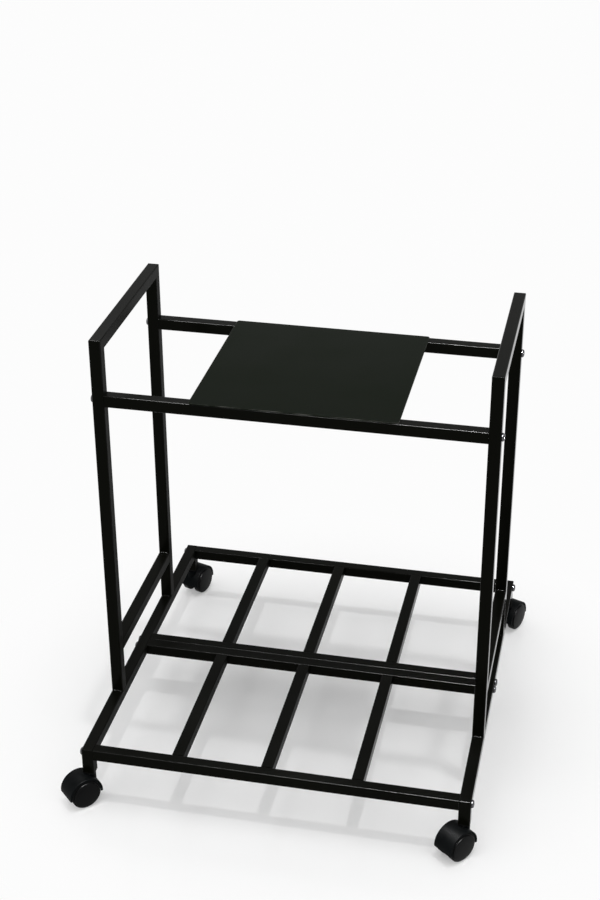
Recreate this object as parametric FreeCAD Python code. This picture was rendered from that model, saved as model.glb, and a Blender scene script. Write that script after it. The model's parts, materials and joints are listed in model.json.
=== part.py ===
import FreeCAD, Part
import math
import os

from FreeCAD import Placement, Rotation, Vector

# Battery trolley: a bolted frame of square steel tube on four hooded twin-wheel casters.
# Millimetres, Z up, floor at Z = 0. X runs across the trolley and Y from its front to its rear.
# The origin is on the floor, midway between the side frames and midway along their base tubes.

# Square tube of the whole frame
TUBE = 19.0
TUBE_WALL = 1.5
TUBE_RADIUS = 2.0
MITRE_ROUND = 1.5

# Side frames; each rise is from the top face of the base tube to the top face of the tube named
OVERALL_WIDTH = 620.0
BASE_DEPTH = 633.0
UPRIGHT_SPREAD = 311.0
LEG_DROP = 25.5
STRETCHER_RISE = 92.0
SHELF_RISE = 548.0
HANDLE_RISE = 639.0

# Two ladder trays side by side, with the spare width left in the bay on the right
TRAY_GAP = 0.6
SLAT_BAY = 125.0
SLATS = ("left", "middle", "right")

# Shelf plate, as deep as the uprights are spread
PLATE_WIDTH = 320.0
PLATE_THICKNESS = 2.0
PLATE_CORNER = 4.0

# Socket-head screws that bolt the rails to the side frames, and the threaded blocks in the rail ends
SCREW_DIAMETER = 6.0
SCREW_GRIP = 14.0
HEAD_DIAMETER = 13.0
HEAD_HEIGHT = 4.0
HEAD_RIM = 1.2
HEAD_CROWN_DIAMETER = 8.0
KEY_FLATS = 4.0
KEY_DEPTH = 2.2
HOLE_CLEARANCE = 0.3
THREAD_CLEARANCE = 0.05
BLOCK_LENGTH = 12.0
BLOCK_CLEARANCE = 0.1

# Caster wheels, measured outwards from the middle of the caster
WHEEL_DIAMETER = 50.0
WHEEL_WIDTH = 12.0
WHEEL_CHAMFER = 1.2
FACE_CROWN = 1.2
FACE_FLAT_DIAMETER = 24.0
RIM_DEPTH = 4.0
DISC_THICKNESS = 2.5
HUB_WALL = 4.0
AXLE_DIAMETER = 6.0
AXLE_COVER = 1.0
AXLE_END_GAP = 0.5
RUNNING_FIT = 0.06
HUB_CLEARANCE = 0.3

# Caster hood, with the web between the wheels that holds the axle, and the neck that holds the stem
HOOD_WALL = 1.8
HOOD_GAP = 2.0
HOOD_SETBACK = 1.7
HOOD_EDGE = 0.8
HOOD_SKIRT = 3.5
WEB_THICKNESS = 5.4
WEB_LOBE = 9.0
BOSS_WALL = 3.0
BOSS_CLEARANCE = 0.5
NECK_DIAMETER = 18.0
TRAIL = 17.0

# Caster stem, fixed in the leg by a grip ring, and the plastic socket that closes the leg
STEM_DIAMETER = 8.0
STEM_REACH = 21.0
STEM_GRIP = 22.0
STEM_END_GAP = 1.0
COLLAR_DIAMETER = 13.0
COLLAR_THICKNESS = 2.0
THRUST_CLEARANCE = 0.2
SWIVEL_CLEARANCE = 1.7
STEM_FIT = 0.05
RING_HEIGHT = 1.4
RING_BITE = 0.7
RING_DROP = 6.0
SOCKET_FLANGE = 2.0
SOCKET_ROOF = 3.0
SOCKET_CLEARANCE = 0.1

# The way each caster trails, in degrees from +X towards +Y
HEADINGS = {"front_left": 225.0, "front_right": 231.0, "rear_left": 72.0, "rear_right": 67.0}

# Sizes that follow from those above
tube_bore = TUBE - 2 * TUBE_WALL
inner_width = OVERALL_WIDTH - 2 * TUBE
frame_x = (OVERALL_WIDTH - TUBE) / 2
base_y = (BASE_DEPTH - TUBE) / 2
upright_y = (UPRIGHT_SPREAD - TUBE) / 2

wheel_radius = WHEEL_DIAMETER / 2
boss_radius = STEM_DIAMETER / 2 + STEM_FIT + BOSS_WALL
wheel_inner = boss_radius + BOSS_CLEARANCE
wheel_outer = wheel_inner + WHEEL_WIDTH
hood_bore = wheel_radius + HOOD_GAP
hood_radius = hood_bore + HOOD_WALL
hood_half = wheel_outer - HOOD_SETBACK
caster_height = wheel_radius + hood_radius + SWIVEL_CLEARANCE
boss_top = caster_height - COLLAR_THICKNESS - THRUST_CLEARANCE

leg_bottom = caster_height + SOCKET_FLANGE
base_top = leg_bottom + LEG_DROP + TUBE
handle_top = base_top + HANDLE_RISE
shelf_rail_top = base_top + SHELF_RISE

tray_rail_z = base_top - TUBE / 2
shelf_rail_z = shelf_rail_top - TUBE / 2
tray_rail_y = {
    "front_tray_front": -base_y,
    "front_tray_rear": -(TUBE + TRAY_GAP) / 2,
    "rear_tray_front": (TUBE + TRAY_GAP) / 2,
    "rear_tray_rear": base_y,
}
shelf_rail_y = {"front_shelf": -upright_y, "rear_shelf": upright_y}


def upright_edges(block):
    """Edges of a box that run along Z."""
    return [edge for edge in block.Edges if abs(edge.tangentAt(edge.FirstParameter).z) > 0.5]


def tube(start, direction, length):
    """Square tube whose centre line begins at start."""
    body = Part.makeBox(TUBE, TUBE, length, Vector(-TUBE / 2, -TUBE / 2, 0))
    body = body.makeFillet(TUBE_RADIUS, upright_edges(body))
    bore = Part.makeBox(tube_bore, tube_bore, length, Vector(-tube_bore / 2, -tube_bore / 2, 0))
    body = body.cut(bore)
    body.Placement = Placement(start, Rotation(Vector(0, 0, 1), direction))
    return body


def mitre_waste(x, y, z, toward_y, toward_z):
    """Block behind the diagonal of the corner square centred at the point, on the side named."""
    reach = 4 * TUBE
    block = Part.makeBox(reach, reach, reach, Vector(-reach / 2, -reach / 2, 0))
    normal = Vector(0, toward_y, toward_z)
    block.Placement = Placement(Vector(x, y, z), Rotation(Vector(0, 0, 1), normal))
    return block


def edge_waste(x, y, z, toward_y):
    """Waste that rounds the upper outer edge of a corner square centred at the point."""
    edge_y = y + toward_y * TUBE / 2
    edge_z = z + TUBE / 2
    low_y = min(edge_y, edge_y - toward_y * MITRE_ROUND)
    waste = Part.makeBox(TUBE, MITRE_ROUND, MITRE_ROUND, Vector(x - TUBE / 2, low_y, edge_z - MITRE_ROUND))
    centre = Vector(x - TUBE / 2, edge_y - toward_y * MITRE_ROUND, edge_z - MITRE_ROUND)
    return waste.cut(Part.makeCylinder(MITRE_ROUND, TUBE, centre, Vector(1, 0, 0)))


def screw_hole(y, z):
    """Clearance hole across both side frames."""
    radius = SCREW_DIAMETER / 2 + HOLE_CLEARANCE
    start = Vector(-OVERALL_WIDTH / 2, y, z)
    return Part.makeCylinder(radius, OVERALL_WIDTH, start, Vector(1, 0, 0))


def arch(x, half_depth, foot_z, top_z):
    """Cross bar and its front and rear posts, mitred at the two upper corners."""
    corner_z = top_z - TUBE / 2
    bar = tube(Vector(x, -half_depth - TUBE / 2, corner_z), Vector(0, 1, 0), 2 * half_depth + TUBE)
    posts = []
    for toward_y in (-1, 1):
        y = toward_y * half_depth
        post = tube(Vector(x, y, foot_z), Vector(0, 0, 1), top_z - foot_z)
        rounding = edge_waste(x, y, corner_z, toward_y)
        posts.append(post.cut(mitre_waste(x, y, corner_z, -toward_y, 1)).cut(rounding))
        bar = bar.cut(mitre_waste(x, y, corner_z, toward_y, -1)).cut(rounding)
    return bar, posts[0], posts[1]


def side_frame(side, x):
    """Welded side frame: base tube on two legs, and a handle bar on two uprights with a stretcher."""
    base, front_leg, rear_leg = arch(x, base_y, leg_bottom, base_top)
    bar, front_upright, rear_upright = arch(x, upright_y, base_top, handle_top)
    for y in tray_rail_y.values():
        base = base.cut(screw_hole(y, tray_rail_z))
    front_leg = front_leg.cut(screw_hole(-base_y, tray_rail_z))
    rear_leg = rear_leg.cut(screw_hole(base_y, tray_rail_z))
    front_upright = front_upright.cut(screw_hole(-upright_y, shelf_rail_z))
    rear_upright = rear_upright.cut(screw_hole(upright_y, shelf_rail_z))
    stretcher_start = Vector(x, -upright_y + TUBE / 2, base_top + STRETCHER_RISE - TUBE / 2)
    return {
        f"{side}_base_tube": base,
        f"{side}_front_leg": front_leg,
        f"{side}_rear_leg": rear_leg,
        f"{side}_handle_bar": bar,
        f"{side}_front_upright": front_upright,
        f"{side}_rear_upright": rear_upright,
        f"{side}_stretcher": tube(stretcher_start, Vector(0, 1, 0), UPRIGHT_SPREAD - 2 * TUBE),
    }


def cross_rail(y, z):
    """Rail that spans the two side frames."""
    return tube(Vector(-inner_width / 2, y, z), Vector(1, 0, 0), inner_width)


def tray(name):
    """Ladder tray: two cross rails with the slats between them, all with their tops in one plane."""
    front_y = tray_rail_y[f"{name}_front"]
    rear_y = tray_rail_y[f"{name}_rear"]
    pieces = {
        f"{name}_front_rail": cross_rail(front_y, tray_rail_z),
        f"{name}_rear_rail": cross_rail(rear_y, tray_rail_z),
    }
    for index, slat in enumerate(SLATS):
        x = -inner_width / 2 + SLAT_BAY + TUBE / 2 + index * (SLAT_BAY + TUBE)
        start = Vector(x, front_y + TUBE / 2, tray_rail_z)
        pieces[f"{name}_{slat}_slat"] = tube(start, Vector(0, 1, 0), rear_y - front_y - TUBE)
    return pieces


def shelf_plate():
    """Flat sheet on the two shelf rails, with its corners rounded."""
    corner = Vector(-PLATE_WIDTH / 2, -UPRIGHT_SPREAD / 2, shelf_rail_top)
    plate = Part.makeBox(PLATE_WIDTH, UPRIGHT_SPREAD, PLATE_THICKNESS, corner)
    return plate.makeFillet(PLATE_CORNER, upright_edges(plate))


def revolved(profile, axis):
    """Solid made by turning a closed outline of points right round an axis through the origin."""
    outline = Part.makePolygon(profile + profile[:1])
    return Part.Face(outline).revolve(Vector(0, 0, 0), axis, 360)


def screw():
    """Screw along Z, with the underside of its head at the origin and its shank downwards."""
    shank = SCREW_DIAMETER / 2
    tip = -(TUBE + SCREW_GRIP)
    profile = [
        Vector(0, 0, HEAD_HEIGHT),
        Vector(HEAD_CROWN_DIAMETER / 2, 0, HEAD_HEIGHT),
        Vector(HEAD_DIAMETER / 2, 0, HEAD_RIM),
        Vector(HEAD_DIAMETER / 2, 0, 0),
        Vector(shank, 0, 0),
        Vector(shank, 0, tip),
        Vector(0, 0, tip),
    ]
    body = revolved(profile, Vector(0, 0, 1))
    key_radius = KEY_FLATS / 2 / math.cos(math.radians(30))
    key_floor = HEAD_HEIGHT - KEY_DEPTH
    corners = [math.radians(60 * turn) for turn in range(7)]
    points = [Vector(key_radius * math.cos(turn), key_radius * math.sin(turn), key_floor) for turn in corners]
    key = Part.Face(Part.makePolygon(points)).extrude(Vector(0, 0, KEY_DEPTH))
    return body.cut(key)


def nut_block():
    """Threaded block along Z, with its outer end at the origin and its body downwards."""
    width = tube_bore - 2 * BLOCK_CLEARANCE
    body = Part.makeBox(width, width, BLOCK_LENGTH, Vector(-width / 2, -width / 2, -BLOCK_LENGTH))
    radius = SCREW_DIAMETER / 2 + THREAD_CLEARANCE
    return body.cut(Part.makeCylinder(radius, BLOCK_LENGTH, Vector(0, 0, -BLOCK_LENGTH)))


def at_rail_ends(piece, half_width, rails, z):
    """Copies of a piece, turned outwards, at both ends of every rail."""
    copies = []
    for y in rails.values():
        for side in (-1, 1):
            copy = piece.copy()
            outwards = Rotation(Vector(0, 0, 1), Vector(side, 0, 0))
            copy.Placement = Placement(Vector(side * half_width, y, z), outwards)
            copies.append(copy)
    return Part.makeCompound(copies)


def fasteners():
    """Screws outside the side frames, and the blocks inside the rail ends that they thread into."""
    return {
        "shelf_rail_screws": at_rail_ends(screw(), OVERALL_WIDTH / 2, shelf_rail_y, shelf_rail_z),
        "tray_screws": at_rail_ends(screw(), OVERALL_WIDTH / 2, tray_rail_y, tray_rail_z),
        "shelf_rail_nut_blocks": at_rail_ends(nut_block(), inner_width / 2, shelf_rail_y, shelf_rail_z),
        "tray_nut_blocks": at_rail_ends(nut_block(), inner_width / 2, tray_rail_y, tray_rail_z),
    }


def caster_wheel():
    """Wheel along Y, with the middle of the caster at the origin: crowned face, open back and blind hub."""
    bore = AXLE_DIAMETER / 2 + RUNNING_FIT
    hub_inner = WEB_THICKNESS / 2 + HUB_CLEARANCE
    disc_inner = wheel_outer - DISC_THICKNESS
    profile = [
        Vector(0, wheel_outer + FACE_CROWN, 0),
        Vector(FACE_FLAT_DIAMETER / 2, wheel_outer + FACE_CROWN, 0),
        Vector(wheel_radius - WHEEL_CHAMFER, wheel_outer, 0),
        Vector(wheel_radius, wheel_outer - WHEEL_CHAMFER, 0),
        Vector(wheel_radius, wheel_inner, 0),
        Vector(wheel_radius - RIM_DEPTH, wheel_inner, 0),
        Vector(wheel_radius - RIM_DEPTH, disc_inner, 0),
        Vector(bore + HUB_WALL, disc_inner, 0),
        Vector(bore + HUB_WALL, hub_inner, 0),
        Vector(bore, hub_inner, 0),
        Vector(bore, disc_inner + AXLE_COVER, 0),
        Vector(0, disc_inner + AXLE_COVER, 0),
    ]
    return revolved(profile, Vector(0, 1, 0))


def below_skirt():
    """Everything lower than the level edge of the hood, for a hood about its axle."""
    span = 4 * hood_radius
    return Part.makeBox(span, span, span, Vector(-span / 2, -span / 2, -span - HOOD_SKIRT))


def hood_shell():
    """Half-round shell over both wheels, along Y, with its outer edges eased and its skirt cut level."""
    profile = [
        Vector(hood_bore, -hood_half, 0),
        Vector(hood_radius - HOOD_EDGE, -hood_half, 0),
        Vector(hood_radius, -hood_half + HOOD_EDGE, 0),
        Vector(hood_radius, hood_half - HOOD_EDGE, 0),
        Vector(hood_radius - HOOD_EDGE, hood_half, 0),
        Vector(hood_bore, hood_half, 0),
    ]
    return revolved(profile, Vector(0, 1, 0)).cut(below_skirt())


def caster_hood():
    """Hood about its axle at the origin: shell, web, and a stem boss with a wider neck, in one moulding."""
    sideways = Vector(0, 1, 0)
    web_start = Vector(0, -WEB_THICKNESS / 2, 0)
    web = Part.makeCylinder(hood_bore, WEB_THICKNESS, web_start, sideways).cut(below_skirt())
    lobe = Part.makeCylinder(WEB_LOBE, WEB_THICKNESS, web_start, sideways)
    boss_height = boss_top - wheel_radius + HOOD_SKIRT
    boss = Part.makeCylinder(boss_radius, boss_height, Vector(-TRAIL, 0, -HOOD_SKIRT))
    neck = Part.makeCylinder(NECK_DIAMETER / 2, boss_top - wheel_radius, Vector(-TRAIL, 0, 0))
    wheel_space = Part.makeCylinder(hood_bore, 2 * hood_half, Vector(0, -hood_half, 0), sideways)
    hood = hood_shell().fuse([web, lobe, boss, neck.cut(wheel_space)]).removeSplitter()
    axle_hole = Part.makeCylinder(AXLE_DIAMETER / 2, WEB_THICKNESS, web_start, sideways)
    stem_hole_depth = STEM_REACH + STEM_END_GAP
    stem_hole_start = Vector(-TRAIL, 0, boss_top - wheel_radius - stem_hole_depth)
    stem_hole = Part.makeCylinder(STEM_DIAMETER / 2 + STEM_FIT, stem_hole_depth, stem_hole_start)
    return hood.cut(axle_hole).cut(stem_hole)


def caster_axle():
    """Pin pressed through the web, with its ends inside the blind hubs."""
    half = wheel_outer - DISC_THICKNESS + AXLE_COVER - AXLE_END_GAP
    return Part.makeCylinder(AXLE_DIAMETER / 2, 2 * half, Vector(0, -half, 0), Vector(0, 1, 0))


def ring_level():
    """Height of the underside of the grip ring's groove."""
    return caster_height + STEM_GRIP - RING_DROP


def caster_stem():
    """Stem on the swivel axis: a running pin below the collar and a grooved pin above it."""
    radius = STEM_DIAMETER / 2
    top = caster_height + STEM_GRIP
    collar = COLLAR_DIAMETER / 2
    collar_bottom = boss_top + THRUST_CLEARANCE
    groove = ring_level()
    profile = [
        Vector(0, 0, boss_top - STEM_REACH),
        Vector(radius, 0, boss_top - STEM_REACH),
        Vector(radius, 0, collar_bottom),
        Vector(collar, 0, collar_bottom),
        Vector(collar, 0, caster_height),
        Vector(radius, 0, caster_height),
        Vector(radius, 0, groove),
        Vector(radius - RING_BITE, 0, groove),
        Vector(radius - RING_BITE, 0, groove + RING_HEIGHT),
        Vector(radius, 0, groove + RING_HEIGHT),
        Vector(radius, 0, top),
        Vector(0, 0, top),
    ]
    return revolved(profile, Vector(0, 0, 1))


def grip_ring():
    """Split spring ring in the stem's groove, pressed flush by the socket."""
    inner = STEM_DIAMETER / 2 - RING_BITE + STEM_FIT
    outer = STEM_DIAMETER / 2
    base = Vector(0, 0, ring_level() + STEM_FIT)
    height = RING_HEIGHT - 2 * STEM_FIT
    ring = Part.makeCylinder(outer, height, base).cut(Part.makeCylinder(inner, height, base))
    split = Part.makeBox(outer, RING_HEIGHT, height, base - Vector(0, RING_HEIGHT / 2, 0))
    return ring.cut(split)


def caster_socket():
    """Plastic plug in the leg: a flange that closes the tube and a blind bore for the stem."""
    flange = Part.makeBox(TUBE, TUBE, SOCKET_FLANGE, Vector(-TUBE / 2, -TUBE / 2, caster_height))
    flange = flange.makeFillet(TUBE_RADIUS, upright_edges(flange))
    width = tube_bore - 2 * SOCKET_CLEARANCE
    height = STEM_GRIP + SOCKET_ROOF
    plug = Part.makeBox(width, width, height, Vector(-width / 2, -width / 2, caster_height))
    radius = STEM_DIAMETER / 2 + STEM_FIT
    bore = Part.makeCylinder(radius, STEM_GRIP + STEM_FIT, Vector(0, 0, caster_height))
    return flange.fuse(plug).removeSplitter().cut(bore)


def placed(piece, heading, leg):
    """Piece of a caster, made about the swivel axis, turned to its heading under its leg."""
    copy = piece.copy()
    copy.Placement = Placement(leg, Rotation(Vector(0, 0, 1), heading)).multiply(piece.Placement)
    return copy


def casters():
    """Four casters: a node for each piece that swivels, and a group for each kind fixed in the legs."""
    axle_place = Placement(Vector(TRAIL, 0, wheel_radius), Rotation())
    wheel = caster_wheel()
    left_wheel = wheel.copy()
    left_wheel.rotate(Vector(0, 0, 0), Vector(0, 0, 1), 180)
    swivelling = {
        "hood": caster_hood(),
        "axle": caster_axle(),
        "left_wheel": left_wheel,
        "right_wheel": wheel,
    }
    for piece in swivelling.values():
        piece.Placement = axle_place.multiply(piece.Placement)
    fixed = {"sockets": caster_socket(), "stems": caster_stem(), "grip_rings": grip_ring()}
    groups = {part_name: [] for part_name in fixed}
    pieces = {}
    for name, heading in HEADINGS.items():
        end, side = name.split("_")
        leg_x = frame_x if side == "right" else -frame_x
        leg_y = base_y if end == "rear" else -base_y
        leg = Vector(leg_x, leg_y, 0)
        for part_name, piece in swivelling.items():
            pieces[f"{name}_caster_{part_name}"] = placed(piece, heading, leg)
        for part_name, piece in fixed.items():
            groups[part_name].append(placed(piece, 0, leg))
    for part_name, group in groups.items():
        pieces[f"caster_{part_name}"] = Part.makeCompound(group)
    return pieces


def build():
    """Every node of the trolley by name."""
    nodes = {}
    nodes.update(side_frame("left", -frame_x))
    nodes.update(side_frame("right", frame_x))
    for name, y in shelf_rail_y.items():
        nodes[f"{name}_rail"] = cross_rail(y, shelf_rail_z)
    nodes["shelf_plate"] = shelf_plate()
    nodes.update(tray("front_tray"))
    nodes.update(tray("rear_tray"))
    nodes.update(fasteners())
    nodes.update(casters())
    return nodes


os.makedirs("parts", exist_ok=True)
for node_name, shape in build().items():
    shape.exportStep(f"parts/{node_name}.step")
print(f"base top {base_top:.2f}  handle top {handle_top:.2f}  shelf rail top {shelf_rail_top:.2f}")
print(f"caster height {caster_height:.2f}  hood radius {hood_radius:.2f}  hood half width {hood_half:.2f}")
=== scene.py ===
import json
import math

import bmesh
import bpy
from bpy.props import FloatProperty, FloatVectorProperty, IntProperty, PointerProperty
from mathutils import Euler, Matrix, Vector


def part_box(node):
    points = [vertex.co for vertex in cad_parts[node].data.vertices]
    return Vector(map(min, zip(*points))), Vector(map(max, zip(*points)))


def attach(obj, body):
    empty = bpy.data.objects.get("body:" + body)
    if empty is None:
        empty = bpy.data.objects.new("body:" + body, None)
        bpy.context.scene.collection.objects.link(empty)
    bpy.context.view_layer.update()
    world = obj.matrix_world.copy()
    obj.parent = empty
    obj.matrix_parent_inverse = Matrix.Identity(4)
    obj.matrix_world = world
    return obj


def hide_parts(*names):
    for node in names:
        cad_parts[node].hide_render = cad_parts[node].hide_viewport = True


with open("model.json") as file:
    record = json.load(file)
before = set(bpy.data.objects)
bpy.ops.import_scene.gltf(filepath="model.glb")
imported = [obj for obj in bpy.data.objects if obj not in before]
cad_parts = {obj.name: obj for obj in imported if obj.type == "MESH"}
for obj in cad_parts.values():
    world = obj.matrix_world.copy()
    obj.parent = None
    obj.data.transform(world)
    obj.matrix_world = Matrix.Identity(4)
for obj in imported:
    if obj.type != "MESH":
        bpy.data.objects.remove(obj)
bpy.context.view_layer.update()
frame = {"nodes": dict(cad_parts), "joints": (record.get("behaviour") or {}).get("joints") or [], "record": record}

bl_info = {
    "name": "Battery Trolley",
    "version": (1, 0, 0),
    "blender": (4, 5, 0),
    "location": "View3D > Sidebar > Trolley",
    "description": "Dresses a square-tube battery trolley: coats, sheet, welds, screws, casters and stage",
    "category": "Add Mesh",
}

# Names of the frame's pieces
SIDES = ("left", "right")
ENDS = ("front", "rear")
SLATS = ("left", "middle", "right")
CORNERS = [f"{end}_{side}" for end in ENDS for side in SIDES]
BOLTED_RAILS = {
    "shelf_rail_screws": [f"{end}_shelf_rail" for end in ENDS],
    "tray_screws": [f"{tray}_tray_{end}_rail" for tray in ENDS for end in ENDS],
}
JOINTS = {joint["name"]: joint for joint in frame["joints"]}
NODE_SLOTS = {part["node"]: part["material_slot"] for part in frame["record"]["subparts"]}

# Sizes read from the frame, in metres
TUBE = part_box("left_stretcher")[1].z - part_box("left_stretcher")[0].z
OUTER_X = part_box("right_base_tube")[1].x
UP = Vector((0, 0, 1))

# Angle past which an edge between two faces stays sharp
SHARP = math.radians(35)


# Kinds of values

def colour_value(name, description, default):
    """Property for a colour."""
    return FloatVectorProperty(
        name=name, description=description, subtype="COLOR", default=default, min=0, max=1)


def metres(name, description, default, low, high):
    """Property for a length."""
    return FloatProperty(
        name=name, description=description, unit="LENGTH", default=default, min=low, max=high)


def share_value(name, description, default):
    """Property for a value from 0 to 1."""
    return FloatProperty(name=name, description=description, subtype="FACTOR", default=default, min=0, max=1)


def angle_value(name, description, degrees, low=-math.pi):
    """Property for an angle, given here in degrees."""
    return FloatProperty(
        name=name, description=description, subtype="ANGLE",
        default=math.radians(degrees), min=low, max=math.pi)


def strength_value(name, description, default, high):
    """Property for the strength of a light."""
    return FloatProperty(name=name, description=description, default=default, min=0, max=high)


class TrolleyFinish(bpy.types.PropertyGroup):
    """Colours and surface of every finish."""
    coat_colour: colour_value("Coat colour", "Black powder coat of the tubes", (0.0020, 0.0022, 0.0012))
    sheet_colour: colour_value("Sheet colour", "Black powder coat of the sheet", (0.0020, 0.0046, 0.0010))
    # Edge and cut edge colours: lighter colours on the rounded edges, partly a thinner coat and partly a painted
    # highlight for the light lines along the edges
    edge_colour: colour_value("Edge colour", "Thin coat on the tubes' rounded edges", (0.008, 0.008, 0.0075))
    cut_colour: colour_value("Cut edge colour", "Thin coat on the sheet's cut edges", (0.120, 0.120, 0.112))
    hood_colour: colour_value("Hood colour", "Black nylon of the caster hoods", (0.0016, 0.0024, 0.0027))
    wheel_colour: colour_value("Wheel colour", "Black nylon of the caster wheels", (0.0015, 0.0017, 0.0018))
    socket_colour: colour_value("Socket colour", "Black plastic plugs in the legs", (0.0050, 0.0050, 0.0050))
    zinc_colour: colour_value("Zinc colour", "Black zinc plate of the screws", (0.09, 0.09, 0.095))
    steel_colour: colour_value("Steel colour", "Plain steel of stems, axles and blocks", (0.42, 0.42, 0.41))
    coat_roughness: share_value("Coat roughness", "Roughness of the powder coat", 0.18)
    left_dryness: share_value(
        "Left dryness", "Roughness added to the drier coat on the sides of the left tubes", 0.30)
    right_shine: share_value(
        "Right shine", "Roughness taken off the wetter coat on the sides of the right tubes", 0.10)
    top_dryness: share_value("Top dryness", "Roughness added to the drier coat on level faces", 0.16)
    coat_gloss: share_value("Coat gloss", "Specular level of the powder coat", 0.025)
    sheet_gloss: share_value("Sheet gloss", "Specular level of the shelf sheet's coat", 0.022)
    peel_size: metres("Orange peel", "Size of the ripples in the powder coat", 0.0016, 0.0002, 0.01)
    nylon_roughness: share_value("Nylon roughness", "Roughness of the caster mouldings", 0.46)
    hood_gloss: share_value("Hood gloss", "Specular level of the hoods and plugs", 0.024)
    wheel_gloss: share_value("Wheel gloss", "Specular level of the wheels", 0.055)
    nylon_grain: metres("Nylon grain", "Size of the mould texture on the hoods", 0.0005, 0.0001, 0.005)


class TrolleyDetail(bpy.types.PropertyGroup):
    """Sizes of the pieces that are added to the frame."""
    sheet_edge: metres("Sheet edge", "Rounding of the shelf sheet's cut edge", 0.0009, 0.0001, 0.00095)
    sheet_corner: metres("Sheet corner", "Radius of the shelf sheet's corners", 0.004, 0.001, 0.02)
    bead_radius: metres("Bead radius", "Radius of a weld bead", 0.0026, 0.0005, 0.005)
    bead_pitch: metres("Bead pitch", "Distance from one weld ripple to the next", 0.0013, 0.0004, 0.005)
    head_radius: metres("Head radius", "Radius of a screw's head", 0.0065, 0.002, 0.01)
    head_height: metres("Head height", "Height of a screw's domed head", 0.004, 0.001, 0.008)
    key_flats: metres("Key flats", "Width across the flats of the key socket", 0.004, 0.001, 0.006)
    key_depth: metres("Key depth", "Depth of the key socket", 0.0022, 0.0005, 0.003)
    shank_radius: metres("Shank radius", "Radius of a screw's shank", 0.003, 0.001, 0.005)
    screw_reach: metres(
        "Screw reach", "Length of a screw beyond the tube that it goes through", 0.014, 0.002, 0.05)
    wheel_edge: metres("Wheel edge", "Rounding of the wheels' tread edges", 0.0012, 0.0002, 0.004)
    face_crown: metres("Face crown", "How far a wheel's face swells at its middle", 0.0012, 0, 0.006)
    face_edge: metres("Face edge", "Rounding of the raised face's edge", 0.0010, 0.0001, 0.002)
    face_step: metres("Face step", "How far a wheel's face stands proud of its tread", 0.002, 0.001, 0.004)
    tread_depth: metres("Tread depth", "Thickness of the tread round the raised face", 0.0027, 0.001, 0.006)
    rim_depth: metres("Rim depth", "Thickness of a wheel's rim", 0.004, 0.001, 0.008)
    rim_width: metres("Rim width", "Depth of a wheel's rim behind its face", 0.012, 0.004, 0.03)
    disc_thickness: metres("Disc thickness", "Thickness of a wheel's disc", 0.0025, 0.001, 0.006)
    hub_radius: metres("Hub radius", "Outer radius of a wheel's hub", 0.007, 0.004, 0.012)
    bore_radius: metres("Bore radius", "Radius of the wheel's bore on its axle", 0.00306, 0.002, 0.006)
    axle_cover: metres("Axle cover", "How far a wheel's bore goes into its disc", 0.001, 0, 0.002)
    rib_count: IntProperty(name="Ribs", description="Ribs behind a wheel's disc", default=8, min=0, max=24)
    rib_thickness: metres("Rib thickness", "Thickness of a rib behind a wheel's disc", 0.0012, 0.0004, 0.003)
    hood_wall: metres("Hood wall", "Thickness of a hood's shell", 0.0018, 0.001, 0.005)
    lip_gap: metres(
        "Lip gap", "Clearance between the lip inside a hood's rim and the wheel", 0.0005, 0.0003, 0.0015)
    lip_width: metres("Lip width", "Width of the lip inside a hood's rim", 0.0022, 0.0015, 0.005)
    hood_edge: metres("Hood edge", "Rounding of a hood's edges", 0.0006, 0.0001, 0.001)
    hood_skirt: metres(
        "Hood skirt", "How far a hood's level edge lies below the axle", 0.0035, 0.0005, 0.008)
    web_thickness: metres("Web thickness", "Thickness of the web between the wheels", 0.0054, 0.002, 0.01)
    web_lobe: metres("Web lobe", "Radius of the web round the axle", 0.009, 0.004, 0.015)
    boss_radius: metres("Boss radius", "Radius of the boss round the stem", 0.00705, 0.005, 0.012)
    neck_radius: metres("Neck radius", "Radius of the neck above a hood", 0.009, 0.005, 0.012)
    neck_rise: metres("Neck rise", "Height of the neck's top above the axle", 0.0283, 0.02, 0.04)
    stem_bore: metres("Stem bore", "Radius of the stem's bore in the boss", 0.00405, 0.002, 0.008)
    stem_depth: metres("Stem depth", "Depth of the stem's bore below the neck's top", 0.022, 0.01, 0.03)


class TrolleyStage(bpy.types.PropertyGroup):
    """Camera, floor and light."""
    camera_place: FloatVectorProperty(
        name="Camera place", description="Where the camera stands", subtype="TRANSLATION", unit="LENGTH",
        default=(0.4836, -2.3234, 1.7905))
    camera_azimuth: angle_value("Azimuth", "Turn of the camera round the trolley, towards its right", 12.272)
    camera_elevation: angle_value("Elevation", "How steeply the camera looks down", 28.386)
    camera_roll: angle_value("Roll", "Tilt of the camera about its view", -0.248)
    camera_lens: FloatProperty(
        name="Lens", description="Focal length, in millimetres on a sensor 36 mm long",
        default=67.64, min=10, max=300)
    floor_size: metres("Floor size", "Side of the square floor", 40.0, 5, 100)
    floor_colour: colour_value("Floor colour", "Pale floor", (0.99, 0.99, 0.99))
    floor_near: metres(
        "Floor near", "Distance from the middle at which the floor starts to turn plain white", 0.36, 0, 10)
    floor_far: metres("Floor far", "Distance from the middle at which the floor is plain white", 0.64, 0, 20)
    white_level: strength_value("White level", "Brightness of the plain white floor and backdrop", 0.975, 1)
    sky_light: strength_value("Sky", "Light between the white backdrop and the overhead light", 0.5, 2)
    overhead_light: strength_value("Overhead", "Wide soft light overhead", 1.38, 5)
    key_light: strength_value("Key", "Lamp overhead", 0.36, 10)
    key_spread: angle_value("Key spread", "Angle that the key light fills", 2.5, low=0)
    strip_power: strength_value(
        "Strip", "Power of the right strip, which draws the edges, in watts", 1350.0, 5000)
    faint_power: strength_value(
        "Faint strip", "Power of the left strip, which draws the edges faintly, in watts", 46.0, 5000)


# Small helpers

def grow(tree, kind, inputs=None, **options):
    """New node with its options and its fixed inputs."""
    made = tree.nodes.new(kind)
    for name, value in options.items():
        setattr(made, name, value)
    for name, value in (inputs or {}).items():
        made.inputs[name].default_value = value
    return made


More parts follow.
